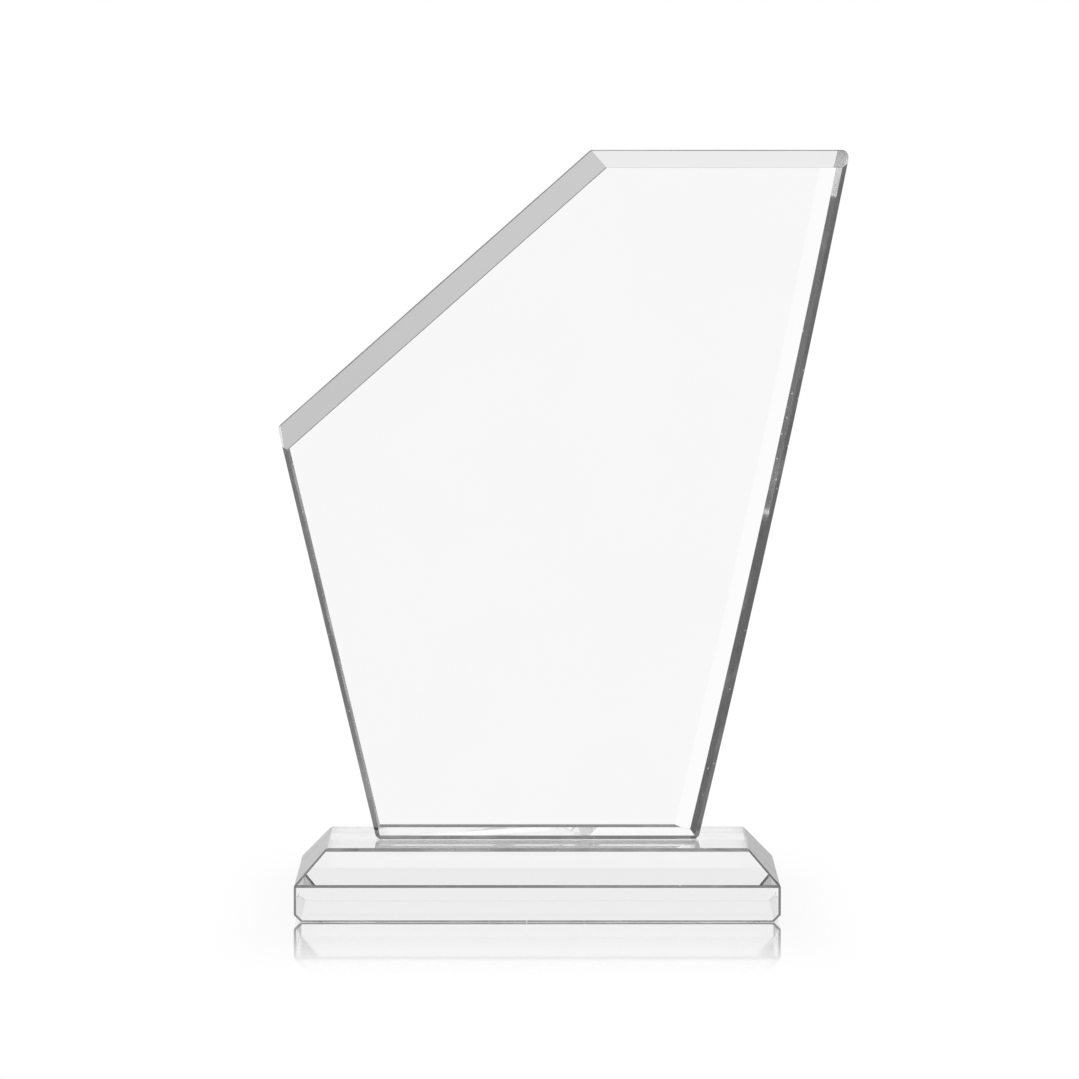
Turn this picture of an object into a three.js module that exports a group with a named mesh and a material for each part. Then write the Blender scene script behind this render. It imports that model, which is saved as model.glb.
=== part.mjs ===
// Crystal award: a tall five-sided plaque of clear optical crystal with a ground and polished
// bevel along its top and its long slanted shoulder, bonded upright on a chamfered crystal base.
//
// Millimetres, +Z up. The origin is the centre of the base's underside, where the award stands.
// The award faces -Y, and +X is on the viewer's right. Every facet is flat, as a lapping wheel
// leaves it, and nearly every sharp edge carries a small polished arris.

import * as THREE from "three";

// --- driving dimensions ---------------------------------------------------------------------

const BASE = {
  width: 131.9, // across the lower block, along X
  depth: 70, // front to back, along Y
  height: 19,
  wallHeight: 9.7, // upright wall under the chamfer
  chamferRun: 8.55, // how far the sloped chamfer comes in on each side
  cornerCut: 0.6, // flat cut down each upright corner
  arris: 0.35,
  frontRimArris: 1, // where the front chamfer meets the flat top
  endFootChamfer: 1.8, // under the left and right ends
};

const BOND = {
  thickness: 0.2, // cured adhesive between base and plaque
  endMargin: 1.7, // how far it stops short of each end of the foot
};

const PLAQUE = {
  footWidth: 88.4, // across the bottom edge, centred on the base
  thickness: 12.5,
  topHeight: 208, // above the table
  shoulderHeight: 132.3, // where the upright left edge meets the slanted shoulder
  shoulderX: -71,
  topLeftX: 14.6,
  topRightX: 85.35,
  rightBow: 0.9, // how far the middle of the long right edge swells outwards
  topBevel: 4.7, // width of the bevel as seen from the front
  shoulderBevel: 6.3,
  bevelDepth: 5,
  bevelArris: 0.35, // between each bevel and the edge wall behind it
  sideFrontArris: 1.2,
  leftBackArris: 1.5,
  rightBackArris: 2.5, // as seen from the front, up to the rear facet
  rearFacet: { width: 4.4, depth: 0.8 }, // shallow facet on the back, along the right edge
  footFrontArris: 1,
  footBackArris: 2.7,
  cornerRadius: 1,
};

const FACET_COLOR = 0xf4f7f8;
const BOND_COLOR = 0xf0f2ee;

// --- outlines -------------------------------------------------------------------------------

/**
 * Moves every side of a convex outline inwards and finds the corners again.
 *
 * @param {THREE.Vector2[]} corners counter-clockwise corners; side i runs from corner i to i + 1
 * @param {number[]} insets how far each side moves inwards
 * @returns {THREE.Vector2[]} the corners of the smaller outline, in the same order
 */
function insetOutline(corners, insets) {
  const count = corners.length;
  const sides = corners.map((corner, i) => {
    const along = corners[(i + 1) % count].clone().sub(corner).normalize();
    const inward = new THREE.Vector2(-along.y, along.x);
    return { along, inward, offset: inward.dot(corner) + insets[i] };
  });
  return sides.map((side, i) => {
    const before = sides[(i + count - 1) % count];
    const cross = before.inward.cross(side.inward);
    return new THREE.Vector2(
      (before.offset * side.inward.y - side.offset * before.inward.y) / cross,
      (side.offset * before.inward.x - before.offset * side.inward.x) / cross,
    );
  });
}

/**
 * Replaces each corner by an arc of straight chords. One chord makes a flat cut, and none
 * leaves the corner sharp.
 *
 * @param {THREE.Vector2[]} corners counter-clockwise corners of a convex outline
 * @param {{radius: number, chords: number}[]} roundings one entry for each corner
 * @returns {THREE.Vector2[]} the finished outline
 */
function roundCorners(corners, roundings) {
  const count = corners.length;
  return corners.flatMap((corner, i) => {
    const { radius, chords } = roundings[i];
    if (chords === 0) return [corner];
    const toBefore = corners[(i + count - 1) % count].clone().sub(corner).normalize();
    const toAfter = corners[(i + 1) % count].clone().sub(corner).normalize();
    const halfAngle = Math.acos(toBefore.dot(toAfter)) / 2;
    const bisector = toBefore.clone().add(toAfter).normalize();
    const center = corner.clone().addScaledVector(bisector, radius / Math.sin(halfAngle));
    const start = corner.clone().addScaledVector(toBefore, radius / Math.tan(halfAngle));
    const turn = Math.PI - 2 * halfAngle;
    return Array.from({ length: chords + 1 }, (_, step) =>
      start.clone().rotateAround(center, (turn * step) / chords),
    );
  });
}

/**
 * Bows a straight side outwards a little, as hand lapping leaves a long edge.
 *
 * @param {THREE.Vector2} start where the side starts
 * @param {THREE.Vector2} end where it ends; the side's outer face is on its right
 * @param {number} rise how far the middle swells
 * @param {number} chords straight pieces along the side
 * @returns {THREE.Vector2[]} the points between the two ends
 */
function bowedSide(start, end, rise, chords) {
  const along = end.clone().sub(start).normalize();
  const outward = new THREE.Vector2(along.y, -along.x);
  return Array.from({ length: chords - 1 }, (_, step) => {
    const t = (step + 1) / chords;
    return start.clone().lerp(end, t).addScaledVector(outward, 4 * rise * t * (1 - t));
  });
}

/**
 * Cuts the sharp corners off an open profile, leaving a short straight arris at each.
 *
 * @param {THREE.Vector2[]} profile points from one end to the other
 * @param {number[]} legs how much of its neighbouring edges the arris at each inner corner takes
 * @returns {THREE.Vector2[]} the profile with two points in place of each inner corner
 */
function cutArrises(profile, legs) {
  const last = profile.length - 1;
  return profile.flatMap((point, i) => {
    if (i === 0 || i === last) return [point];
    return [profile[i - 1], profile[i + 1]].map((neighbour) => {
      const step = neighbour.clone().sub(point).setLength(legs[i - 1]);
      return point.clone().add(step);
    });
  });
}

/**
 * Joins rings of equal point count into one closed solid, with a flat cap at each end. The rings'
 * sides stay parallel from one ring to the next, so every facet between them is flat.
 *
 * @param {THREE.Vector3[][]} rings from one end to the other, each counter-clockwise when seen
 *   from beyond the last ring
 * @returns {THREE.BufferGeometry} the faceted solid
 */
function loftRings(rings) {
  const count = rings[0].length;
  const triangles = [];
  for (let level = 0; level + 1 < rings.length; level += 1) {
    const near = rings[level];
    const far = rings[level + 1];
    for (let i = 0; i < count; i += 1) {
      const next = (i + 1) % count;
      triangles.push([near[i], near[next], far[next]]);
      triangles.push([near[i], far[next], far[i]]);
    }
  }
  const firstRing = rings[0];
  const lastRing = rings[rings.length - 1];
  for (let i = 1; i + 1 < count; i += 1) {
    triangles.push([firstRing[0], firstRing[i + 1], firstRing[i]]);
    triangles.push([lastRing[0], lastRing[i], lastRing[i + 1]]);
  }
  const geometry = new THREE.BufferGeometry().setFromPoints(triangles.flat());
  geometry.computeVertexNormals();
  return geometry;
}

/**
 * Reads an edge profile, a list of points from one face of a block to the other that give how far
 * the edge has come in at each depth.
 *
 * @param {{depth: number, inset: number}[]} profile its points, in order of depth
 * @param {number} depth where to read it
 * @returns {number} how far the edge has come in there
 */
function insetAt(profile, depth) {
  const next = Math.max(1, profile.findIndex((point) => point.depth >= depth));
  const [before, after] = [profile[next - 1], profile[next]];
  const share = (depth - before.depth) / (after.depth - before.depth);
  return before.inset + (after.inset - before.inset) * share;
}

/**
 * Lists every depth at which one of a block's edges changes direction.
 *
 * @param {{depth: number, inset: number}[][]} profiles the edge profiles of the block's sides
 * @returns {number[]} the depths, in order
 */
function ringDepths(profiles) {
  return [...new Set(profiles.flat().map(({ depth }) => depth))].sort((a, b) => a - b);
}

// --- pieces ---------------------------------------------------------------------------------

/**
 * Draws how far one of the base's walls has come in at each height.
 *
 * @param {number} footChamfer the size of the 45° cut along the wall's lower edge
 * @param {number} rimArris how much of the chamfer and of the flat top the arris between them takes
 * @returns {{depth: number, inset: number}[]} its points from the table up
 */
function wallProfile(footChamfer, rimArris) {
  const { height, wallHeight, chamferRun, arris } = BASE;
  const upper = cutArrises(
    [
      new THREE.Vector2(0, footChamfer),
      new THREE.Vector2(0, wallHeight),
      new THREE.Vector2(chamferRun, height),
      new THREE.Vector2(chamferRun + 2 * rimArris, height),
    ],
    [arris, rimArris],
  ).slice(0, -1);
  const foot = new THREE.Vector2(footChamfer, 0);
  return [foot, ...upper].map(({ x: inset, y: depth }) => ({ depth, inset }));
}

/** The base: an upright block whose upper half is chamfered on all four sides. */
function baseGeometry() {
  const { width, depth, cornerCut, arris, frontRimArris, endFootChamfer } = BASE;
  const footprint = [
    new THREE.Vector2(-width / 2, -depth / 2),
    new THREE.Vector2(width / 2, -depth / 2),
    new THREE.Vector2(width / 2, depth / 2),
    new THREE.Vector2(-width / 2, depth / 2),
  ];
  const front = wallProfile(arris, frontRimArris);
  const back = wallProfile(arris, arris);
  const end = wallProfile(endFootChamfer, arris);
  const rounding = footprint.map(() => ({ radius: cornerCut, chords: 1 }));
  const rings = ringDepths([front, end, back]).map((z) => {
    const insets = [front, end, back, end].map((profile) => insetAt(profile, z));
    const ring = roundCorners(insetOutline(footprint, insets), rounding);
    return ring.map(({ x, y }) => new THREE.Vector3(x, y, z));
  });
  return loftRings(rings);
}

/** Where the plaque's foot starts, on top of the cured adhesive. */
const footHeight = BASE.height + BOND.thickness;

/**
 * Makes an edge profile out of its front part and its back part.
 *
 * @param {{depth: number, inset: number}[]} front points measured from the front face
 * @param {{depth: number, inset: number}[]} back points measured from the back face
 * @returns {{depth: number, inset: number}[]} the whole profile
 */
function edgeProfile(front, back) {
  const fromFront = back.map(({ depth, inset }) => ({ depth: PLAQUE.thickness - depth, inset }));
  return [...front, ...fromFront.reverse()];
}

/** The two profile points of a 45° arris of a given size. */
const arrisPoints = (size) => [{ depth: 0, inset: size }, { depth: size, inset: 0 }];

/** The three profile points of a front bevel and the small arris behind it. */
const bevelPoints = (width) => [
  { depth: 0, inset: width },
  { depth: PLAQUE.bevelDepth, inset: PLAQUE.bevelArris },
  { depth: PLAQUE.bevelDepth + PLAQUE.bevelArris, inset: 0 },
];

/**
 * The plaque: a five-sided slab whose front edge is bevelled along the top and the shoulder.
 * Its outline is drawn in X and Z, and its rings run from the back face to the front face.
 */
function plaqueGeometry() {
  const p = PLAQUE;
  const footLeft = new THREE.Vector2(-p.footWidth / 2, footHeight);
  const footRight = new THREE.Vector2(p.footWidth / 2, footHeight);
  const topRight = new THREE.Vector2(p.topRightX, p.topHeight);
  const topLeft = new THREE.Vector2(p.topLeftX, p.topHeight);
  const shoulderEnd = new THREE.Vector2(p.shoulderX, p.shoulderHeight);
  const rightSide = bowedSide(footRight, topRight, p.rightBow, 4);
  const outline = [footLeft, footRight, ...rightSide, topRight, topLeft, shoulderEnd];
  const roundings = [
    { radius: p.cornerRadius, chords: 1 },
    { radius: p.cornerRadius, chords: 1 },
    ...rightSide.map(() => ({ radius: 0, chords: 0 })),
    { radius: 1.7, chords: 6 },
    { radius: 1, chords: 2 },
    { radius: 1.4, chords: 4 },
  ];
  const foot = edgeProfile(arrisPoints(p.footFrontArris), arrisPoints(p.footBackArris));
  const right = edgeProfile(arrisPoints(p.sideFrontArris), [
    { depth: 0, inset: p.rightBackArris + p.rearFacet.width },
    { depth: p.rearFacet.depth, inset: p.rightBackArris },
    { depth: p.rearFacet.depth + p.rightBackArris, inset: 0 },
  ]);
  const top = edgeProfile(bevelPoints(p.topBevel), arrisPoints(p.bevelArris));
  const shoulder = edgeProfile(bevelPoints(p.shoulderBevel), arrisPoints(p.bevelArris));
  const left = edgeProfile(arrisPoints(p.sideFrontArris), arrisPoints(p.leftBackArris));
  const profiles = [foot, right, ...rightSide.map(() => right), top, shoulder, left];
  const rings = ringDepths(profiles).reverse().map((depth) => {
    const insets = profiles.map((profile) => insetAt(profile, depth));
    const ring = roundCorners(insetOutline(outline, insets), roundings);
    const y = depth - p.thickness / 2;
    return ring.map(({ x, y: z }) => new THREE.Vector3(x, y, z));
  });
  return loftRings(rings);
}

/** The bond: the thin film of clear adhesive, as deep as the flat of the plaque's foot. */
function bondGeometry() {
  const { footWidth, thickness, footFrontArris, footBackArris } = PLAQUE;
  const width = footWidth - 2 * BOND.endMargin;
  const depth = thickness - footFrontArris - footBackArris;
  return new THREE.BoxGeometry(width, depth, BOND.thickness)
    .translate(0, (footFrontArris - footBackArris) / 2, BASE.height + BOND.thickness / 2);
}

/**
 * @param {string} name the piece's node name
 * @param {THREE.BufferGeometry} geometry its solid
 * @param {number} color its body colour
 * @returns {THREE.Mesh} the clear, polished piece
 */
function clearPiece(name, geometry, color) {
  const material = new THREE.MeshStandardMaterial({
    color,
    roughness: 0.02,
    metalness: 0,
    transparent: true,
    opacity: 0.35,
    flatShading: true,
  });
  const mesh = new THREE.Mesh(geometry, material);
  mesh.name = name;
  return mesh;
}

const award = new THREE.Group();
award.add(clearPiece("base_block", baseGeometry(), FACET_COLOR));
award.add(clearPiece("bond_film", bondGeometry(), BOND_COLOR));
award.add(clearPiece("plaque", plaqueGeometry(), FACET_COLOR));

export default award;
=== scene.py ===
"""Crystal award: a slanted plaque of polished optical crystal bonded to a low chamfered base.

Both blocks are ground the way a crystal shop grinds them. A sawn block is cut back one flat
facet at a time, nearly every sharp edge is eased to a small flat arris, and the two are joined by
a film of clear adhesive. Metres, +Z up, and the award faces -Y.
"""

import logging
import math
from collections.abc import Callable, Iterator
from dataclasses import dataclass, field
from enum import IntEnum

import bmesh
import bpy
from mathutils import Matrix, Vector

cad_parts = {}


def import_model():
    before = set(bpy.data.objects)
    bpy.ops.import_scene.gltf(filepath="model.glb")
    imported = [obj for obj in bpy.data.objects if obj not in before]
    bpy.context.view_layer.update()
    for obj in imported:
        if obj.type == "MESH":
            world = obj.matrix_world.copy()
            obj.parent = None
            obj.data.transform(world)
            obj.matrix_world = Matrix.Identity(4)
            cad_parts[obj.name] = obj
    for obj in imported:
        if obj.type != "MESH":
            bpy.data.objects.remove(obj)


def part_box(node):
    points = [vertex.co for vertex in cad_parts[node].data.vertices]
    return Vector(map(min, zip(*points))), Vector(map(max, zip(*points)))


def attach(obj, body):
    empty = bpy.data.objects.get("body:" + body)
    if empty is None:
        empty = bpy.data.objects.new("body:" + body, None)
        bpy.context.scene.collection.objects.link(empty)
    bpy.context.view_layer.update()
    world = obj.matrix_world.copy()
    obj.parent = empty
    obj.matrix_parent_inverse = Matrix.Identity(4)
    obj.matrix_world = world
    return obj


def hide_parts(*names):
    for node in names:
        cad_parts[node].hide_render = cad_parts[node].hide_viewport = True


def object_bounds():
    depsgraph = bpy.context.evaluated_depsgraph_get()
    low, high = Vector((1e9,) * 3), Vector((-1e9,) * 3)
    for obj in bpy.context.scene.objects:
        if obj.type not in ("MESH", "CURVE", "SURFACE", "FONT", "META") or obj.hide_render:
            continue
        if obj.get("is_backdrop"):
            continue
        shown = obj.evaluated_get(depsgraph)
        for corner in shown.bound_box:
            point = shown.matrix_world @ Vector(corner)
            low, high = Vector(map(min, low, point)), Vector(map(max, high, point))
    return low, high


log = logging.getLogger("crystal_award")

MM = 0.001
WELD = 0.0002 * MM
ON_PLANE = 0.01 * MM
SAW_ALLOWANCE = 2.0 * MM
BUFFED_FROM = math.radians(15.0)

UP = Vector((0.0, 0.0, 1.0))
FRONT = Vector((0.0, -1.0, 0.0))
BACK = Vector((0.0, 1.0, 0.0))
RIGHT = Vector((1.0, 0.0, 0.0))

# How closely two directions agree, as the cosine of the angle between them.
EXACTLY = 0.999999
NEARLY = 0.999
MOSTLY = 0.9
SLIGHTLY = 0.1

Face = bmesh.types.BMFace
Socket = bpy.types.NodeSocket
Tint = tuple[float, float, float]
Lay = tuple[float, float, float]
Span = tuple[float, float]


class Finish(IntEnum):
    """The finishes of one block's faces, in the order of its material slots."""

    FACET = 0
    # the arris slot is painted shade on the blocks: a near-black tint for the dark lines along the edges
    ARRIS = 1
    BONDED = 2


# --- the grinding shop ------------------------------------------------------------------------


def deselect_all() -> None:
    """Clears the object selection, so that the next operator acts on one piece only."""
    for item in bpy.context.selected_objects:
        item.select_set(False)
    bpy.context.view_layer.objects.active = None


class Blank:
    """A sawn block that is ground to shape, one flat facet at a time."""

    def __init__(self, name: str, low: Vector, high: Vector, allowance: float = 0.0) -> None:
        """Saws the block.

        Args:
            name: the finished piece's name.
            low: the finished piece's lowest corner.
            high: its highest corner.
            allowance: how much larger the block is on every side.
        """
        deselect_all()
        size = high - low + Vector((2 * allowance,) * 3)
        bpy.ops.mesh.primitive_cube_add(size=1.0, location=(low + high) / 2, scale=size)
        self.piece = bpy.context.object
        self.piece.name = name
        self.piece.data.name = name
        bpy.ops.object.transform_apply(location=True, rotation=True, scale=True)

    def add_slots(self, finishes: tuple[bpy.types.Material, ...]) -> None:
        """Gives the piece its material slots, in the order of Finish."""
        for material in finishes:
            self.piece.data.materials.append(material)

    def select_faces(self, wanted: Callable[[Face], bool]) -> None:
        """Selects faces, in edit mode.

        Args:
            wanted: says whether a face is to be selected.
        """
        bpy.ops.mesh.select_mode(type="FACE")
        bpy.ops.mesh.select_all(action="DESELECT")
        shell = bmesh.from_edit_mesh(self.piece.data)
        for face in shell.faces:
            face.select_set(wanted(face))
        bmesh.update_edit_mesh(self.piece.data)

    def select_edges(self, wanted: Callable[[bmesh.types.BMEdge], bool]) -> None:
        """Selects edges, in edit mode.

        Args:
            wanted: says whether an edge is to be selected.
        """
        bpy.ops.mesh.select_mode(type="EDGE")
        bpy.ops.mesh.select_all(action="DESELECT")
        shell = bmesh.from_edit_mesh(self.piece.data)
        for edge in shell.edges:
            edge.select_set(wanted(edge))
        bmesh.update_edit_mesh(self.piece.data)

    def give(self, wanted: Callable[[Face], bool], finish: Finish) -> None:
        """Gives faces a finish, in edit mode.

        Args:
            wanted: says whether a face takes it.
            finish: the slot that they take it from.
        """
        self.select_faces(wanted)
        self.piece.active_material_index = finish
        bpy.ops.object.material_slot_assign()

    def grind(self, point: Vector, outward: Vector, finish: Finish = Finish.FACET) -> None:
        """Grinds off all that stands outside a plane and leaves a flat facet there.

        Args:
            point: a point on the plane.
            outward: the direction that the facet faces.
            finish: how the facet is finished.
        """
        normal = outward.normalized()

        def is_new(face: Face) -> bool:
            """Says whether a face is the facet that this cut leaves."""
            return abs(face.normal.dot(normal)) > EXACTLY and on_plane(face, point, normal)

        bpy.ops.object.mode_set(mode="EDIT")
        bpy.ops.mesh.select_all(action="SELECT")
        bpy.ops.mesh.bisect(
            plane_co=point, plane_no=normal, use_fill=True, clear_outer=True, threshold=WELD
        )
        self.give(is_new, finish)
        bpy.ops.object.mode_set(mode="OBJECT")

    # an eased arris takes the arris finish by default, painted dark as shade
    def ease(
        self, corner: Vector, first: Vector, second: Vector, leg: float, finish: Finish = Finish.ARRIS
    ) -> None:
        """Grinds a small flat arris along the edge between two facets.

        Args:
            corner: a point on the sharp edge.
            first: the direction that one facet faces.
            second: the direction that the other one faces.
            leg: how much of each facet the arris takes.
            finish: how it is finished.
        """
        first, second = first.normalized(), second.normalized()
        away = (first * first.dot(second) - second).normalized()
        self.grind(corner + away * leg, first + second, finish)

    def score(self, point: Vector, across: Vector, wanted: Callable[[Face], bool]) -> None:
        """Splits faces along a plane and takes nothing off.

        Args:
            point: a point on the plane.
            across: the plane's normal.
            wanted: says whether a face is split.
        """
        bpy.ops.object.mode_set(mode="EDIT")
        self.select_faces(wanted)
        bpy.ops.mesh.bisect(plane_co=point, plane_no=across, threshold=WELD)
        bpy.ops.object.mode_set(mode="OBJECT")

    def buff(self, radius: float, segments: int = 2) -> bpy.types.Object:
        """Takes the last sharpness off every edge and sets the faces outwards.

        Args:
            radius: how much of each facet the buffed edge takes.
            segments: facets across each buffed edge.

        Returns:
            The finished piece.
        """
        deselect_all()
        self.piece.select_set(True)
        bpy.context.view_layer.objects.active = self.piece
        bpy.ops.object.mode_set(mode="EDIT")
        bpy.ops.mesh.select_all(action="SELECT")
        bpy.ops.mesh.remove_doubles(threshold=WELD)
        bpy.ops.mesh.normals_make_consistent(inside=False)
        bpy.ops.object.mode_set(mode="OBJECT")
        edge = self.piece.modifiers.new("buffed_edge", "BEVEL")
        edge.width = radius
        edge.segments = segments
        edge.limit_method = "ANGLE"
        edge.angle_limit = BUFFED_FROM
        # every buffed edge takes the arris slot, which on the two blocks is painted dark as shade
        edge.material = Finish.ARRIS
        bpy.ops.object.modifier_apply(modifier=edge.name)
        return self.piece


def on_plane(face: Face, point: Vector, normal: Vector) -> bool:
    """Says whether a face's middle lies on a plane."""
    return abs((face.calc_center_median() - point).dot(normal)) < ON_PLANE


def over(face: Face, low: Vector, high: Vector) -> bool:
    """Says whether a face's middle lies over or under a box."""
    middle = face.calc_center_median()
    return low.x < middle.x < high.x and low.y < middle.y < high.y


# --- the plaque -------------------------------------------------------------------------------


@dataclass(frozen=True)
class EdgeGrind:
    """How one long edge of the plaque is ground off.

    Attributes:
        width: how much it takes of the front or back face.
        depth: how much it takes of the wall.
        finish: how the facet is finished.
        inner: the arris between it and the face, or 0.
        outer: the arris between it and the wall, or 0.
    """

    width: float
    depth: float
    # by default the ground edge takes the arris finish, painted dark as shade
    finish: Finish = Finish.ARRIS
    inner: float = 0.0
    outer: float = 0.0


@dataclass(frozen=True)
class Side:
    """One straight stretch of the plaque's outline, and how its two long edges are ground.

    Attributes:
        point: a point on it, at half the plaque's thickness.
        outward: the direction that its wall faces.
        front: its edge at the front.
        back: its edge at the back.
        rear_facet: a wide, shallow facet between that edge and the back face, or None.
    """

    point: Vector
    outward: Vector
    front: EdgeGrind
    back: EdgeGrind
    rear_facet: EdgeGrind | None = None


SMALL_EDGE = EdgeGrind(0.35 * MM, 0.35 * MM)


@dataclass
class Plaque:
    """The upright five-sided slab, bevelled in front along its top and its slanted shoulder.

    The corners' radii, and the chords that round them, are in the order that corners() gives.
    """

    thickness: float = 12.5 * MM
    foot_width: float = 88.4 * MM
    top_height: float = 208.0 * MM
    shoulder: tuple[float, float] = (-71.0 * MM, 132.3 * MM)
    top_left: float = 14.6 * MM
    top_right: float = 85.35 * MM
    bow: float = 0.9 * MM
    bow_chords: int = 10
    side_front: EdgeGrind = EdgeGrind(1.2 * MM, 1.2 * MM)
    left_back: EdgeGrind = EdgeGrind(1.5 * MM, 1.5 * MM)
    right_back_seen: float = 2.5 * MM
    rear_facet_width: float = 4.4 * MM
    rear_facet_depth: float = 0.8 * MM
    foot_front: EdgeGrind = EdgeGrind(1.0 * MM, 1.0 * MM)
    foot_back: EdgeGrind = EdgeGrind(2.7 * MM, 2.7 * MM, Finish.FACET, inner=0.45 * MM)
    top_front: EdgeGrind = EdgeGrind(4.7 * MM, 5.0 * MM, Finish.FACET, outer=0.35 * MM)
    shoulder_front: EdgeGrind = EdgeGrind(6.3 * MM, 5.0 * MM, Finish.FACET, inner=0.1 * MM, outer=0.35 * MM)
    corner_radii: tuple[float, ...] = (1.0 * MM, 1.0 * MM, 1.7 * MM, 1.0 * MM, 1.4 * MM)
    corner_chords: tuple[int, ...] = (1, 1, 6, 2, 4)
    buffed: float = 0.08 * MM

    def corners(self, foot: float) -> list[Vector]:
        """Gives the sharp outline, anticlockwise as seen from the front.

        Args:
            foot: the height of its lower edge.

        Returns:
            The foot's left and right, the top's right and left, and the shoulder's left end.
        """
        half = self.foot_width / 2
        return [
            Vector((-half, 0.0, foot)),
            Vector((half, 0.0, foot)),
            Vector((self.top_right, 0.0, self.top_height)),
            Vector((self.top_left, 0.0, self.top_height)),
            Vector((self.shoulder[0], 0.0, self.shoulder[1])),
        ]

    def straight_sides(self, foot: float) -> Iterator[Side]:
        """Goes round the outline, over all of its sides but the rounded corners.

        Args:
            foot: the height of the plaque's lower edge.

        Yields:
            The foot, the chords of the bowed right edge, the top, the shoulder and the left edge.
        """
        foot_left, foot_right, top_right, top_left, shoulder = self.corners(foot)
        yield Side(foot_left, facing(foot_left, foot_right), self.foot_front, self.foot_back)
        steps = range(self.bow_chords + 1)
        points = [self.bowed(foot_right, top_right, step / self.bow_chords) for step in steps]
        cut = self.right_back_seen + self.rear_facet_depth
        right_back = EdgeGrind(cut, cut)
        fall = self.rear_facet_depth / self.rear_facet_width
        reach = self.right_back_seen + self.rear_facet_width
        rear_facet = EdgeGrind(reach, reach * fall, Finish.FACET)
        for start, end in zip(points, points[1:]):
            yield Side(start, facing(start, end), self.side_front, right_back, rear_facet)
        yield Side(top_right, facing(top_right, top_left), self.top_front, SMALL_EDGE)
        yield Side(top_left, facing(top_left, shoulder), self.shoulder_front, SMALL_EDGE)
        yield Side(shoulder, facing(shoulder, foot_left), self.side_front, self.left_back)

    def bowed(self, start: Vector, end: Vector, t: float) -> Vector:
        """Gives a point of an edge that swells outwards a little.

        Args:
            start: where the edge starts.
            end: where it ends.
            t: how far along it the point is, from 0 to 1.

        Returns:
            The point.
        """
        return start.lerp(end, t) + facing(start, end) * (4 * self.bow * t * (1 - t))

    def corner_sides(self, foot: float) -> Iterator[Side]:
        """Goes round the outline, over its rounded corners.

        Args:
            foot: the height of the plaque's lower edge.

        Yields:
            The chords that round each corner.
        """
        corners = self.corners(foot)
        rounds = zip(corners, self.corner_radii, self.corner_chords)
        for index, (corner, radius, chords) in enumerate(rounds):
            before = facing(corners[index - 1], corner)
            after = facing(corner, corners[(index + 1) % len(corners)])
            turn = before.angle(after)
            center = corner - (before + after).normalized() * (radius / math.cos(turn / 2))
            reach = radius * math.cos(turn / chords / 2)
            for chord in range(chords):
                outward = before.slerp(after, (chord + 0.5) / chords)
                yield Side(center + outward * reach, outward, SMALL_EDGE, SMALL_EDGE)

    def grind_edge(self, blank: Blank, side: Side, face: Vector, edge: EdgeGrind) -> None:
        """Grinds one long edge of a side, and the arrises on either hand of it.

        Args:
            blank: the plaque as ground so far.
            side: the side of its outline.
            face: the direction of the large face that the edge meets.
            edge: how the edge is ground.
        """
        half = self.thickness / 2
        slope = side.outward * edge.depth + face * edge.width
        on_face = side.point + face * half - side.outward * edge.width
        on_wall = side.point + face * (half - edge.depth)
        blank.grind(on_face, slope, edge.finish)
        if edge.inner:
            blank.ease(on_face, face, slope, edge.inner)
        if edge.outer:
            blank.ease(on_wall, slope, side.outward, edge.outer)

    def build(self, finishes: tuple[bpy.types.Material, ...]) -> bpy.types.Object:
        """Grinds the plaque out of a block a little larger than its CAD body.

        Args:
            finishes: its materials, in the order of Finish.

        Returns:
            The finished piece.
        """
        low, high = (Vector(corner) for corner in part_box("plaque"))
        blank = Blank("plaque_block", low, high, SAW_ALLOWANCE)
        blank.add_slots(finishes)
        for face in (FRONT, BACK):
            blank.grind(face * (self.thickness / 2), face)
        for side in [*self.straight_sides(low.z), *self.corner_sides(low.z)]:
            blank.grind(side.point, side.outward)
            self.grind_edge(blank, side, FRONT, side.front)
            self.grind_edge(blank, side, BACK, side.back)
            if side.rear_facet:
                self.grind_edge(blank, side, BACK, side.rear_facet)
        piece = blank.buff(self.buffed)
        bpy.ops.object.mode_set(mode="EDIT")
        blank.give(lambda face: face.normal.z < -NEARLY and on_plane(face, low, UP), Finish.BONDED)
        bpy.ops.object.mode_set(mode="OBJECT")
        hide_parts("plaque")
        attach(piece, "root")
        return piece


def facing(start: Vector, end: Vector) -> Vector:
    """Gives the direction that a side of the outline faces, square to it and outwards."""
    along = (end - start).normalized()
    return Vector((along.z, 0.0, -along.x))


# --- the base ---------------------------------------------------------------------------------


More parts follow.
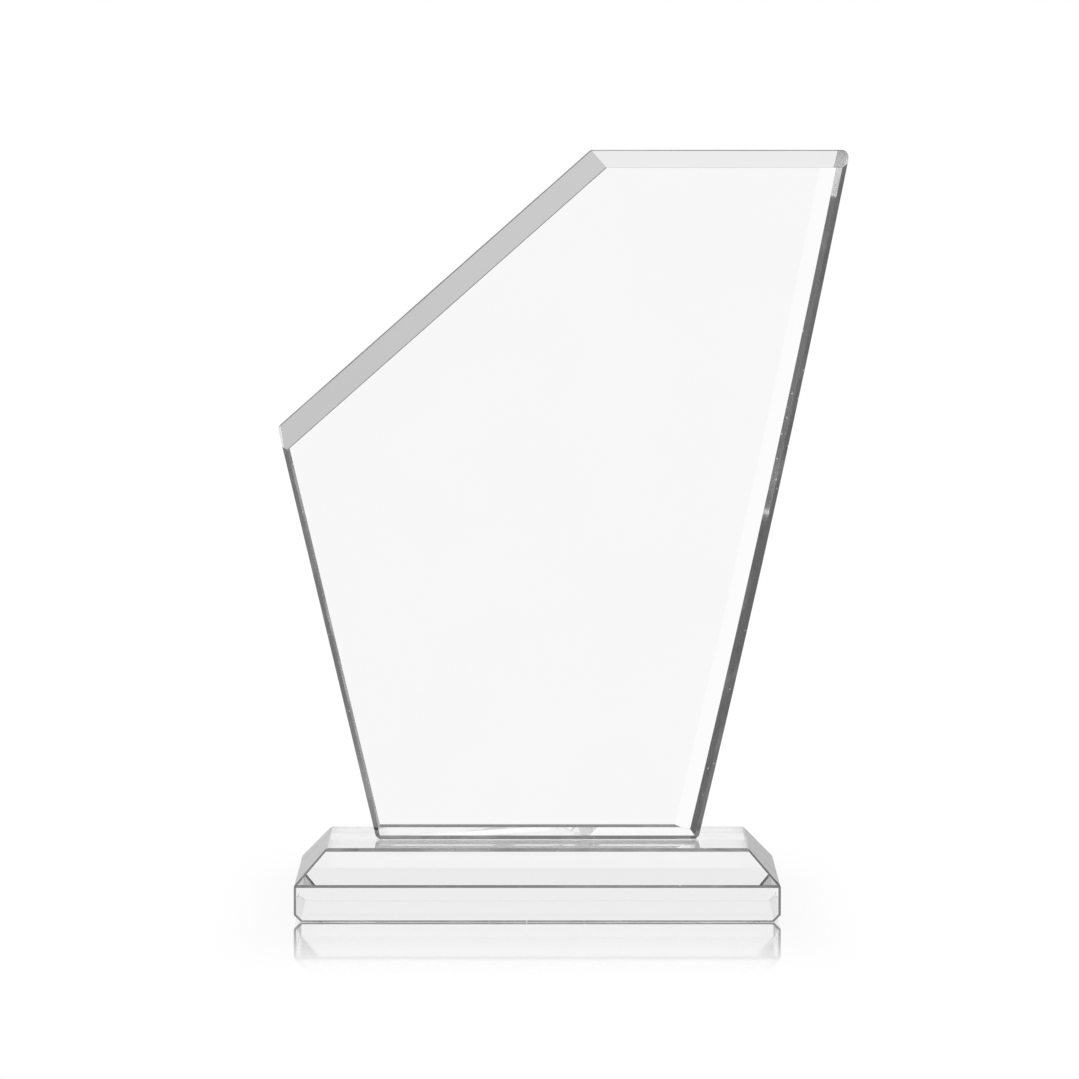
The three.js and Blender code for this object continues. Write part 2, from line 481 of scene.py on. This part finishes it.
@dataclass
class BaseBlock:
    """The low block: an upright wall, a chamfer on all four sides above, a cut under each end."""

    width: float = 131.9 * MM
    depth: float = 70.0 * MM
    height: float = 19.0 * MM
    wall_height: float = 9.7 * MM
    chamfer_run: float = 8.55 * MM
    corner_cut: float = 0.6 * MM
    arris: float = 0.35 * MM
    front_rim_arris: float = 1.0 * MM
    end_foot_chamfer: float = 1.8 * MM
    buffed: float = 0.08 * MM
    back_margin: float = 3.0 * MM

    def sides(self) -> Iterator[tuple[Vector, float, float]]:
        """Goes round the block, over its four walls and the flats cut down its corners.

        Yields:
            The direction that a side faces, and how far from the middle its wall stands and its
            chamfer ends.
        """
        for turn in range(8):
            angle = math.radians(45 * turn)
            outward = Vector((math.cos(angle), math.sin(angle), 0.0))
            across, along = abs(outward.x), abs(outward.y)
            wall = across * self.width / 2 + along * self.depth / 2
            if turn % 2:
                wall -= self.corner_cut * across
            yield outward, wall, wall - self.chamfer_run * (across + along)

    def build(self, finishes: tuple[bpy.types.Material, ...]) -> bpy.types.Object:
        """Grinds the base and marks out the patch of its top that the plaque is bonded to.

        Args:
            finishes: its materials, in the order of Finish.

        Returns:
            The finished piece.
        """
        low, high = (Vector(corner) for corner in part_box("base_block"))
        blank = Blank("base_blank", low, high, SAW_ALLOWANCE)
        blank.add_slots(finishes)
        blank.grind(low, -UP)
        blank.grind(high, UP)
        rise = self.height - self.wall_height
        for outward, wall, top in self.sides():
            slope = outward * rise + UP * (wall - top)
            foot_edge = outward * wall
            ledge = outward * wall + UP * self.wall_height
            rim = outward * top + UP * self.height
            is_end = abs(outward.x) > MOSTLY
            faces_front = outward.dot(FRONT) > MOSTLY
            faces_back = outward.dot(BACK) > SLIGHTLY
            is_corner = max(abs(outward.x), abs(outward.y)) < MOSTLY
            # the corner flats, save at the back, take the arris finish, painted dark as shade
            finish = Finish.ARRIS if is_corner and not faces_back else Finish.FACET
            blank.grind(foot_edge, outward, finish)
            blank.grind(ledge, slope, finish)
            if is_end:
                blank.ease(foot_edge, outward, -UP, self.end_foot_chamfer, Finish.FACET)
            elif not faces_back:
                blank.ease(foot_edge, outward, -UP, self.arris)
            if not faces_back:
                blank.ease(ledge, outward, slope, self.arris)
                blank.ease(rim, slope, UP, self.front_rim_arris if faces_front else self.arris)
        for end in (-1.0, 1.0):
            corner = Vector((end * self.width / 2, -self.depth / 2, self.end_foot_chamfer))
            blank.ease(corner, FRONT, Vector((end, 0.0, -1.0)), self.corner_cut)
        piece = blank.buff(self.buffed)
        self.clear_back_edges(blank)
        self.mark_bond(blank)
        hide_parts("base_block")
        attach(piece, "root")
        return piece

    def clear_back_edges(self, blank: Blank) -> None:
        """Gives the buffed edges at the back the same finish as the facets, so that they are not painted
        dark as shade.

        Args:
            blank: the ground and buffed base.
        """
        limit = self.depth / 2 - self.chamfer_run - self.back_margin

        def at_back(face: Face) -> bool:
            """Says whether a face is a buffed edge near the back that has the painted dark arris finish."""
            return face.material_index == Finish.ARRIS and face.calc_center_median().y > limit

        bpy.ops.object.mode_set(mode="EDIT")
        blank.give(at_back, Finish.FACET)
        bpy.ops.object.mode_set(mode="OBJECT")

    def mark_bond(self, blank: Blank) -> None:
        """Scores the outline of the adhesive on the top and gives what lies inside its finish.

        Args:
            blank: the ground base.
        """
        low, high = (Vector(corner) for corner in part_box("bond_film"))

        def is_top(face: Face) -> bool:
            """Says whether a face is part of the flat top."""
            return face.normal.z > NEARLY and on_plane(face, UP * self.height, UP)

        for corner in (low, high):
            blank.score(corner, RIGHT, is_top)
            blank.score(corner, BACK, is_top)
        bpy.ops.object.mode_set(mode="EDIT")
        blank.give(lambda face: is_top(face) and over(face, low, high), Finish.BONDED)
        bpy.ops.object.mode_set(mode="OBJECT")


# --- the adhesive -----------------------------------------------------------------------------


@dataclass
class AdhesiveLayer:
    """The film of cured adhesive under the plaque, squeezed out a little all round its foot."""

    squeeze_out: float = 0.3 * MM
    corner_radius: float = 0.6 * MM
    rim_radius: float = 0.08 * MM
    smooth_below: float = math.radians(50)

    def build(self, finishes: tuple[bpy.types.Material, ...]) -> bpy.types.Object:
        """Presses the film out.

        Args:
            finishes: its materials, in the order of Finish.

        Returns:
            The finished piece.
        """
        low, high = (Vector(corner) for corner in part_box("bond_film"))
        proud = Vector((self.squeeze_out, self.squeeze_out, 0.0))
        blank = Blank("adhesive_layer", low - proud, high + proud)
        blank.add_slots(finishes)
        bpy.ops.object.mode_set(mode="EDIT")
        blank.select_edges(self.is_upright)
        bpy.ops.mesh.bevel(offset=self.corner_radius, segments=5)
        blank.select_faces(self.is_flat)
        bpy.ops.mesh.inset(thickness=self.squeeze_out)
        blank.give(lambda face: self.is_flat(face) and over(face, low, high), Finish.BONDED)
        bpy.ops.object.mode_set(mode="OBJECT")
        piece = blank.buff(self.rim_radius, segments=3)
        bpy.ops.object.shade_smooth_by_angle(angle=self.smooth_below)
        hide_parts("bond_film")
        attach(piece, "root")
        return piece

    def is_upright(self, edge: bmesh.types.BMEdge) -> bool:
        """Says whether an edge of the film stands upright."""
        return abs((edge.verts[0].co - edge.verts[1].co).normalized().z) > MOSTLY

    def is_flat(self, face: Face) -> bool:
        """Says whether a face is the film's top or bottom."""
        return abs(face.normal.z) > MOSTLY


# --- shaders ----------------------------------------------------------------------------------


class Shader:
    """Adds nodes to one node tree and links them as they are made."""

    def __init__(self, tree: bpy.types.NodeTree) -> None:
        """Starts on an empty tree.

        Args:
            tree: the node tree of a material, world or group.
        """
        self.tree = tree
        tree.nodes.clear()

    def add(self, kind: str, settings: dict | None = None, **inputs: object) -> bpy.types.Node:
        """Adds a node.

        Args:
            kind: the node's type name without its "ShaderNode" prefix.
            settings: attributes of the node itself, such as its operation.
            inputs: a value or an output socket for each input, named with _ for each space. An
                input with a number for a name is written as i0, i1 and so on.

        Returns:
            The new node.
        """
        node = self.tree.nodes.new(kind if kind.startswith("Node") else f"ShaderNode{kind}")
        for name, value in (settings or {}).items():
            setattr(node, name, value)
        for name, value in inputs.items():
            by_number = name[0] == "i" and name[1:].isdigit()
            socket = node.inputs[int(name[1:]) if by_number else name.replace("_", " ")]
            if isinstance(value, Socket):
                self.tree.links.new(value, socket)
            else:
                socket.default_value = value
        return node

    def math(self, operation: str, *values: Socket | float, clamp: bool = False) -> Socket:
        """Adds a Math node.

        Args:
            operation: its operation.
            values: a number or an output socket for each input.
            clamp: whether its result stays between 0 and 1.

        Returns:
            Its output.
        """
        named = {f"i{index}": value for index, value in enumerate(values)}
        settings = {"operation": operation, "use_clamp": clamp}
        return self.add("Math", settings, **named).outputs[0]

    def ramp(self, value: Socket, low: float, high: float, at_low: float, at_high: float) -> Socket:
        """Adds a smooth step from one level to another.

        Args:
            value: what it reads.
            low: where the step starts.
            high: where it ends.
            at_low: the level up to its start.
            at_high: the level from its end.

        Returns:
            The stepped value.
        """
        node = self.add(
            "MapRange",
            {"interpolation_type": "SMOOTHSTEP"},
            Value=value,
            From_Min=low,
            From_Max=high,
            To_Min=at_low,
            To_Max=at_high,
        )
        return node.outputs["Result"]

    def mask(self, value: Socket, edge: Span) -> Socket:
        """Adds a mask that is 0 up to an edge's first level and 1 from its second."""
        return self.ramp(value, *edge, 0.0, 1.0)

    def blend(self, share: Socket, first: Tint, second: Tint) -> Socket:
        """Mixes two colours.

        Args:
            share: how much of the second one shows.
            first: one colour.
            second: the other one.

        Returns:
            The mixed colour.
        """
        mix = self.add("Mix", {"data_type": "RGBA"}, Factor=share, i6=(*first, 1.0), i7=(*second, 1.0))
        return mix.outputs[2]

    def bump(self, height: Socket, strength: float, depth: float) -> Socket:
        """Turns a height into a normal, with a strength and a depth in metres."""
        return self.add("Bump", Strength=strength, Distance=depth, Height=height).outputs[0]

    def end_in_glass(self, color: Socket, ior: float, **inputs: Socket | float) -> None:
        """Ends a material in a clear solid.

        Args:
            color: its base colour.
            ior: its index of refraction.
            inputs: its roughness and, where it has one, its normal.
        """
        glass = self.add("BsdfPrincipled", Base_Color=color, IOR=ior, Transmission_Weight=1.0, **inputs)
        self.add("OutputMaterial", Surface=glass.outputs[0])


def new_material(name: str) -> tuple[bpy.types.Material, Shader]:
    """Starts a node material.

    Args:
        name: its name.

    Returns:
        The material and the builder of its node tree.
    """
    material = bpy.data.materials.new(name)
    material.use_nodes = True
    return material, Shader(material.node_tree)


@dataclass(frozen=True)
class PolishMarks:
    """The node group of what lapping, buffing and handling leave on a polished facet.

    Its marks are fine crossing hairlines, and its haze is a wide, faint film of polish and dust.
    Each lay of hairlines says how close its lines are along each axis, where 1 is closest.
    """

    name: str = "polish_marks"
    marks_per_metre: float = 900.0
    haze_per_metre: float = 30.0
    lays: tuple[Lay, ...] = ((1.0, 1.0, 0.04), (0.05, 1.0, 1.0), (0.6, 1.0, 0.06))
    line_edge: Span = (0.70, 0.78)
    haze_edge: Span = (0.42, 0.72)
    haze_height: float = 0.3

    def build(self) -> bpy.types.NodeTree:
        """Makes the group.

        Returns:
            The group, which takes a place, the spacing and strength of its marks and of its haze,
            and gives a mask of each and a height.
        """
        tree = bpy.data.node_groups.new(self.name, "ShaderNodeTree")
        sockets = tree.interface
        sockets.new_socket("Place", in_out="INPUT", socket_type="NodeSocketVector")
        for label, start in (
            ("Marks per metre", self.marks_per_metre),
            ("Marks", 1.0),
            ("Haze per metre", self.haze_per_metre),
            ("Haze", 1.0),
        ):
            sockets.new_socket(label, in_out="INPUT", socket_type="NodeSocketFloat").default_value = start
        for label in ("Mark mask", "Haze mask", "Height"):
            sockets.new_socket(label, in_out="OUTPUT", socket_type="NodeSocketFloat")
        shader = Shader(tree)
        given = shader.add("NodeGroupInput").outputs
        marks = self.hairlines(shader, given["Place"], given["Marks per metre"], self.lays[0])
        for lay in self.lays[1:]:
            more = self.hairlines(shader, given["Place"], given["Marks per metre"], lay)
            marks = shader.math("MAXIMUM", marks, more)
        marks = shader.math("MULTIPLY", marks, given["Marks"])
        film = shader.add("TexNoise", Vector=given["Place"], Scale=given["Haze per metre"], Detail=4.0)
        haze = shader.math("MULTIPLY", shader.mask(film.outputs["Fac"], self.haze_edge), given["Haze"])
        height = shader.math("SUBTRACT", shader.math("MULTIPLY", haze, self.haze_height), marks)
        shader.add("NodeGroupOutput", Mark_mask=marks, Haze_mask=haze, Height=height)
        return tree

    def hairlines(self, shader: Shader, place: Socket, density: Socket, lay: Lay) -> Socket:
        """Adds hairlines that run one way.

        Args:
            shader: the group's node tree.
            place: where on the piece.
            density: lines per metre.
            lay: how close the lines are along each axis.

        Returns:
            A mask that is 1 on a line.
        """
        drawn = shader.add("VectorMath", {"operation": "MULTIPLY"}, i0=place, i1=lay)
        noise = shader.add("TexNoise", Vector=drawn.outputs[0], Scale=density, Detail=1.0)
        return shader.mask(noise.outputs["Fac"], self.line_edge)


@dataclass(frozen=True)
class EdgeBruises:
    """The node group of the tiny chips and rubs along an edge that has been handled."""

    name: str = "edge_bruises"
    chips_per_metre: float = 700.0
    rubs_per_metre: float = 60.0
    chip_edge: Span = (0.10, 0.22)
    chipped_cells: Span = (0.86, 0.92)
    rub_edge: Span = (0.45, 0.70)

    def build(self) -> bpy.types.NodeTree:
        """Makes the group.

        Returns:
            The group, which takes a place and the spacing of the chips, and gives a mask of the
            chips, a mask of the rubbed stretches and a height.
        """
        tree = bpy.data.node_groups.new(self.name, "ShaderNodeTree")
        sockets = tree.interface
        sockets.new_socket("Place", in_out="INPUT", socket_type="NodeSocketVector")
        spacing = sockets.new_socket("Chips per metre", in_out="INPUT", socket_type="NodeSocketFloat")
        spacing.default_value = self.chips_per_metre
        for label in ("Chip mask", "Rub mask", "Height"):
            sockets.new_socket(label, in_out="OUTPUT", socket_type="NodeSocketFloat")
        shader = Shader(tree)
        given = shader.add("NodeGroupInput").outputs
        cells = shader.add("TexVoronoi", Vector=given["Place"], Scale=given["Chips per metre"])
        chip = shader.ramp(cells.outputs["Distance"], *self.chip_edge, 1.0, 0.0)
        chance = shader.add("SeparateColor", Color=cells.outputs["Color"]).outputs["Red"]
        chip = shader.math("MULTIPLY", chip, shader.mask(chance, self.chipped_cells))
        rubs = shader.add("TexNoise", Vector=given["Place"], Scale=self.rubs_per_metre, Detail=3.0)
        rub = shader.mask(rubs.outputs["Fac"], self.rub_edge)
        height = shader.math("MULTIPLY", chip, -1.0)
        shader.add("NodeGroupOutput", Chip_mask=chip, Rub_mask=rub, Height=height)
        return tree


@dataclass(frozen=True)
class PolishedCrystal:
    """A finish: a facet of optical crystal, lapped and polished clear."""

    name: str
    tint: Tint
    ior: float = 1.52
    haze_roughness: float = 0.004
    mark_roughness: float = 0.02
    haze_share: float = 0.5
    haze_dimming: float = 0.985
    bump_strength: float = 0.02
    bump_depth: float = 0.01 * MM

    def build(self, polish: bpy.types.NodeTree) -> bpy.types.Material:
        """Makes the material.

        Args:
            polish: the group of polishing marks.

        Returns:
            The material.
        """
        material, shader = new_material(self.name)
        place = shader.add("TexCoord").outputs["Object"]
        marks = shader.add("Group", {"node_tree": polish}, Place=place).outputs
        rough = shader.math("MULTIPLY", marks["Haze mask"], self.haze_roughness)
        rough = shader.math("ADD", rough, shader.math("MULTIPLY", marks["Mark mask"], self.mark_roughness))
        dimmed = tuple(level * self.haze_dimming for level in self.tint)
        share = shader.math("MULTIPLY", marks["Haze mask"], self.haze_share)
        color = shader.blend(share, self.tint, dimmed)
        normal = shader.bump(marks["Height"], self.bump_strength, self.bump_depth)
        shader.end_in_glass(color, self.ior, Roughness=rough, Normal=normal)
        return material


@dataclass(frozen=True)
class ArrisPaintedDark:
    """A finish: the narrow flats and buffed edges, tinted near black as painted shade for the dark lines
    that refraction draws along crystal edges, with lighter chips and rubs.
    """

    name: str = "arris_painted_dark"
    # painted shade: this near-black tint stands in for the dark lines that the edges show by refraction
    tint: Tint = (0.048, 0.049, 0.050)
    chipped: Tint = (0.30, 0.305, 0.31)
    roughness: float = 0.06
    rub_roughness: float = 0.08
    chip_roughness: float = 0.3
    rub_share: float = 0.25
    bump_strength: float = 0.2
    bump_depth: float = 0.05 * MM
    ior: float = 1.52

    def build(self, bruises: bpy.types.NodeTree) -> bpy.types.Material:
        """Makes the material.

        Args:
            bruises: the group of chips and rubs.

        Returns:
            The material.
        """
        material, shader = new_material(self.name)
        place = shader.add("TexCoord").outputs["Object"]
        wear = shader.add("Group", {"node_tree": bruises}, Place=place).outputs
        rough = shader.math("MULTIPLY_ADD", wear["Rub mask"], self.rub_roughness, self.roughness)
        rough = shader.math("MULTIPLY_ADD", wear["Chip mask"], self.chip_roughness, rough)
        share = shader.math("MULTIPLY_ADD", wear["Rub mask"], self.rub_share, wear["Chip mask"], clamp=True)
        color = shader.blend(share, self.tint, self.chipped)
        normal = shader.bump(wear["Height"], self.bump_strength, self.bump_depth)
        shader.end_in_glass(color, self.ior, Roughness=rough, Normal=normal)
        return material


@dataclass(frozen=True)
class BondedFace:
    """A finish: a face wetted by the adhesive, which light passes without bending.

    A few specks stay in the joint where the adhesive has trapped air or dust.
    """

    name: str = "bonded_face"
    tint: Tint = (1.0, 1.0, 1.0)
    speck_tint: Tint = (0.6, 0.6, 0.6)
    specks_per_metre: float = 260.0
    speck_edge: Span = (0.03, 0.07)
    specked_cells: Span = (0.80, 0.85)
    ior: float = 1.0

    def build(self) -> bpy.types.Material:
        """Makes the material.

        Returns:
            The material.
        """
        material, shader = new_material(self.name)
        place = shader.add("TexCoord").outputs["Object"]
        cells = shader.add("TexVoronoi", Vector=place, Scale=self.specks_per_metre)
        speck = shader.ramp(cells.outputs["Distance"], *self.speck_edge, 1.0, 0.0)
        chance = shader.add("SeparateColor", Color=cells.outputs["Color"]).outputs["Red"]
        speck = shader.math("MULTIPLY", speck, shader.mask(chance, self.specked_cells))
        shader.end_in_glass(shader.blend(speck, self.tint, self.speck_tint), self.ior, Roughness=0.0)
        return material


@dataclass(frozen=True)
class CuredAdhesive:
    """A finish: the glossy rim of clear adhesive round the foot."""

    name: str = "adhesive_rim"
    tint: Tint = (0.80, 0.80, 0.78)
    hazed: Tint = (0.9, 0.9, 0.88)
    haze_per_metre: float = 200.0
    waves_per_metre: float = 400.0
    wave_strength: float = 0.3
    wave_depth: float = 0.03 * MM
    roughness: float = 0.04
    haze_roughness: float = 0.08
    ior: float = 1.5

    def build(self, polish: bpy.types.NodeTree) -> bpy.types.Material:
        """Makes the material.

        Args:
            polish: the group of polishing marks, of which a rim of adhesive takes the haze.

        Returns:
            The material.
        """
        material, shader = new_material(self.name)
        place = shader.add("TexCoord").outputs["Object"]
        film = shader.add(
            "Group", {"node_tree": polish}, Place=place, Marks=0.0, Haze_per_metre=self.haze_per_metre
        )
        haze = film.outputs["Haze mask"]
        rough = shader.math("MULTIPLY_ADD", haze, self.haze_roughness, self.roughness)
        waves = shader.add("TexNoise", Vector=place, Scale=self.waves_per_metre, Detail=2.0).outputs["Fac"]
        normal = shader.bump(waves, self.wave_strength, self.wave_depth)
        color = shader.blend(haze, self.tint, self.hazed)
        shader.end_in_glass(color, self.ior, Roughness=rough, Normal=normal)
        return material


# --- the studio -------------------------------------------------------------------------------


@dataclass(frozen=True)
class Flag:
    """A grey card hung in the light tent, which a facet picks up as a darker tone.

    Angles are in degrees, with azimuth 0 straight behind the award and positive to the right.
    """

    azimuth: float
    elevation: float
    half_width: float
    half_height: float
    tone: float
    soft: float = 2.0


@dataclass
class Studio:
    """A white light tent with grey cards in it, a pale gloss table with a painted shadow under the award,
    and the camera.

    The tent's angles are in degrees. Each edge of a tone is where it starts and where it ends.
    """

    panel_pitch: float = 45.0
    panel_edge: Span = (9.0, 12.0)
    panel_rim_tone: float = 0.60
    gap_edge: Span = (15.9, 17.0)
    gap_tone: float = 0.84
    roof_edge: Span = (58.0, 66.0)
    floor_edge: Span = (-18.0, -30.0)
    floor_tone: float = 0.84
    flags: tuple[Flag, ...] = (
        Flag(90.0, 33.0, 24.0, 19.0, 0.15),
        Flag(90.0, -21.0, 24.0, 10.0, 0.08),
        Flag(-90.0, 29.0, 24.0, 16.0, 0.06),
        Flag(-90.0, -21.0, 24.0, 10.0, 0.06),
        Flag(-60.0, 71.0, 40.0, 9.0, 0.10),
        Flag(45.0, 48.0, 14.0, 8.0, 0.40),
        Flag(7.0, -0.7, 1.6, 2.5, 0.50, 0.4),
        Flag(-7.0, -0.7, 1.6, 2.5, 0.60, 0.4),
        Flag(0.0, 0.0, 2.75, 20.0, 0.943, 0.15),
    )
    table_radius: float = 215.0 * MM
    table_segments: int = 96
    table_drop: float = 0.1 * MM
    table_rim_from: float = 0.65
    table_rim_to: float = 0.96
    table_glow: float = 0.94
    # painted shadow under the base: the table glows less inside the base's outline
    painted_shadow_glow: float = 0.45
    painted_shadow_edge: Span = (-2.0 * MM, -0.5 * MM)
    reflection_reach: float = 120.0 * MM
    reflection_sides: float = 25.0 * MM
    gloss: float = 1.7
    gloss_roughness: float = 0.05
    gloss_ior: float = 1.5
    lens: float = 244.53
    sensor: float = 36.0
    stand_off: float = 2005.6 * MM
    camera_height: float = 251.7 * MM
    camera_aside: float = 0.6 * MM
    tilt: float = 4.2915
    camera_reach: float = 20.0

    def build(self) -> None:
        """Sets up the light, the table and the camera."""
        self.build_tent()
        self.build_table()
        self.build_camera()

    def build_tent(self) -> None:
        """Lights the award from all round, through a ring of white panels with grey gaps.

        What the camera sees of the tent itself is plain white.
        """
        world = bpy.data.worlds.new("light_tent")
        bpy.context.scene.world = world
        world.use_nodes = True
        shader = Shader(world.node_tree)
        direction = shader.add("TexCoord").outputs["Generated"]
        axes = shader.add("SeparateXYZ", Vector=direction).outputs
        turn = shader.math("DEGREES", shader.math("ARCTAN2", axes["X"], axes["Y"]))
        lift = shader.math("DEGREES", shader.math("ARCSINE", axes["Z"]))
        off_panel = shader.math("PINGPONG", turn, self.panel_pitch / 2)
        rim = shader.ramp(off_panel, *self.panel_edge, 1.0, self.panel_rim_tone)
        gap = shader.ramp(off_panel, *self.gap_edge, 1.0, self.gap_tone / self.panel_rim_tone)
        light = shader.math("MULTIPLY", rim, gap)
        light = shader.math("MAXIMUM", light, shader.mask(lift, self.roof_edge))
        light = shader.math("MULTIPLY", light, shader.ramp(lift, *self.floor_edge, 1.0, self.floor_tone))
        for flag in self.flags:
            light = shader.math("MULTIPLY", light, self.flag_tone(shader, turn, lift, flag))
        seen = shader.add("LightPath").outputs["Is Camera Ray"]
        strength = shader.math("MAXIMUM", light, seen)
        background = shader.add("Background", Color=(1.0, 1.0, 1.0, 1.0), Strength=strength)
        shader.add("OutputWorld", Surface=background.outputs[0])

    def flag_tone(self, shader: Shader, turn: Socket, lift: Socket, flag: Flag) -> Socket:
        """Adds one grey card.

        Args:
            shader: the world's node tree.
            turn: the azimuth of the ray.
            lift: its elevation.
            flag: the card.

        Returns:
            The card's tone inside it, and 1 outside.
        """
        masks = []
        for angle, middle, half in (
            (turn, flag.azimuth, flag.half_width),
            (lift, flag.elevation, flag.half_height),
        ):
            off = shader.math("ABSOLUTE", shader.math("SUBTRACT", angle, middle))
            masks.append(shader.ramp(off, half - flag.soft, half + flag.soft, 1.0, 0.0))
        covered = shader.math("MULTIPLY", *masks)
        return shader.math("MULTIPLY_ADD", covered, flag.tone - 1.0, 1.0)

    def build_table(self) -> None:
        """Lays the round gloss table, which fades into the white surround and has a painted shadow where
        the base stands on it.
        """
        deselect_all()
        bpy.ops.mesh.primitive_circle_add(
            vertices=self.table_segments,
            radius=self.table_radius,
            fill_type="NGON",
            location=(0.0, 0.0, -self.table_drop),
        )
        table = bpy.context.object
        table.name = "table"
        bpy.ops.object.transform_apply(location=True, rotation=True, scale=True)
        table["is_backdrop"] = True
        material, shader = new_material("gloss_table")
        place = shader.add("TexCoord").outputs["Object"]
        axes = shader.add("SeparateXYZ", Vector=place).outputs
        edge = Vector(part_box("base_block")[1])
        beyond_x = shader.math("SUBTRACT", shader.math("ABSOLUTE", axes["X"]), edge.x)
        beyond_y = shader.math("SUBTRACT", shader.math("ABSOLUTE", axes["Y"]), edge.y)
        away = shader.math("MAXIMUM", beyond_x, beyond_y)
        fade = shader.ramp(away, 0.0, self.reflection_reach, 1.0, 0.0)
        fade = shader.math("MULTIPLY", fade, shader.ramp(beyond_x, 0.0, self.reflection_sides, 1.0, 0.0))
        fresnel = shader.add("Fresnel", IOR=self.gloss_ior).outputs[0]
        share = shader.math("MULTIPLY", fade, shader.math("MULTIPLY", fresnel, self.gloss), clamp=True)
        # painted shadow: the table glows less under the base, and this shows through the glass
        glow = shader.ramp(away, *self.painted_shadow_edge, self.painted_shadow_glow, self.table_glow)
        glow = shader.math("MAXIMUM", shader.add("LightPath").outputs["Is Camera Ray"], glow)
        white = shader.add("Emission", Color=(1.0, 1.0, 1.0, 1.0), Strength=glow)
        gloss = shader.add("BsdfGlossy", Color=(1.0, 1.0, 1.0, 1.0), Roughness=self.gloss_roughness)
        top = shader.add("MixShader", i0=share, i1=white.outputs[0], i2=gloss.outputs[0])
        radius = shader.add("VectorMath", {"operation": "LENGTH"}, i0=place).outputs["Value"]
        rim = (self.table_rim_from * self.table_radius, self.table_rim_to * self.table_radius)
        ended = shader.mask(radius, rim)
        clear = shader.add("BsdfTransparent")
        surface = shader.add("MixShader", i0=ended, i1=top.outputs[0], i2=clear.outputs[0])
        shader.add("OutputMaterial", Surface=surface.outputs[0])
        table.data.materials.append(material)

    def build_camera(self) -> None:
        """Sets the camera up in front of the award, looking slightly down on it."""
        data = bpy.data.cameras.new("camera")
        data.sensor_width = self.sensor
        data.lens = self.lens
        data.clip_end = self.camera_reach
        camera = bpy.data.objects.new("camera", data)
        bpy.context.scene.collection.objects.link(camera)
        camera.location = (self.camera_aside, -self.stand_off, self.camera_height)
        camera.rotation_euler = (math.radians(90.0 - self.tilt), 0.0, 0.0)
        bpy.context.scene.camera = camera


def set_light_paths(bounces: int = 32) -> None:
    """Lets light bounce often enough to cross both blocks and the joint.

    Args:
        bounces: how often it may bounce, of each kind.
    """
    scene = bpy.context.scene
    scene.view_settings.view_transform = "Standard"
    for kind in ("max_bounces", "glossy_bounces", "transmission_bounces", "transparent_max_bounces"):
        setattr(scene.cycles, kind, bounces)


@dataclass
class Award:
    """The whole award: its finishes, its two blocks and the adhesive between them."""

    plaque: Plaque = field(default_factory=Plaque)
    base: BaseBlock = field(default_factory=BaseBlock)
    adhesive: AdhesiveLayer = field(default_factory=AdhesiveLayer)
    plaque_tint: Tint = (1.0, 0.987, 0.994)
    base_tint: Tint = (0.90, 0.90, 0.90)

    def build(self) -> None:
        """Makes every finish, then builds each piece in it and reports the piece."""
        polish = PolishMarks().build()
        # the arris finish is painted shade: near black, for the dark lines along the crystal's edges
        arris = ArrisPaintedDark().build(EdgeBruises().build())
        bonded = BondedFace().build()
        plaque_facet = PolishedCrystal("plaque_facet", self.plaque_tint).build(polish)
        base_facet = PolishedCrystal("base_facet", self.base_tint).build(polish)
        rim = CuredAdhesive().build(polish)
        for part, finishes in (
            (self.base, (base_facet, arris, bonded)),
            (self.adhesive, (rim, rim, bonded)),
            (self.plaque, (plaque_facet, arris, bonded)),
        ):
            piece = part.build(finishes)
            log.info("%s: %d faces", piece.name, len(piece.data.polygons))


def main() -> None:
    """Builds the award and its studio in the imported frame."""
    logging.basicConfig(level=logging.INFO, format="%(name)s: %(message)s")
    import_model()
    cad_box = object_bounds()
    set_light_paths()
    Award().build()
    Studio().build()
    boxes = {"cad": cad_box, "visual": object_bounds()}
    {name: [list(corner) for corner in box] for name, box in boxes.items()}


if __name__ == "__main__":
    main()
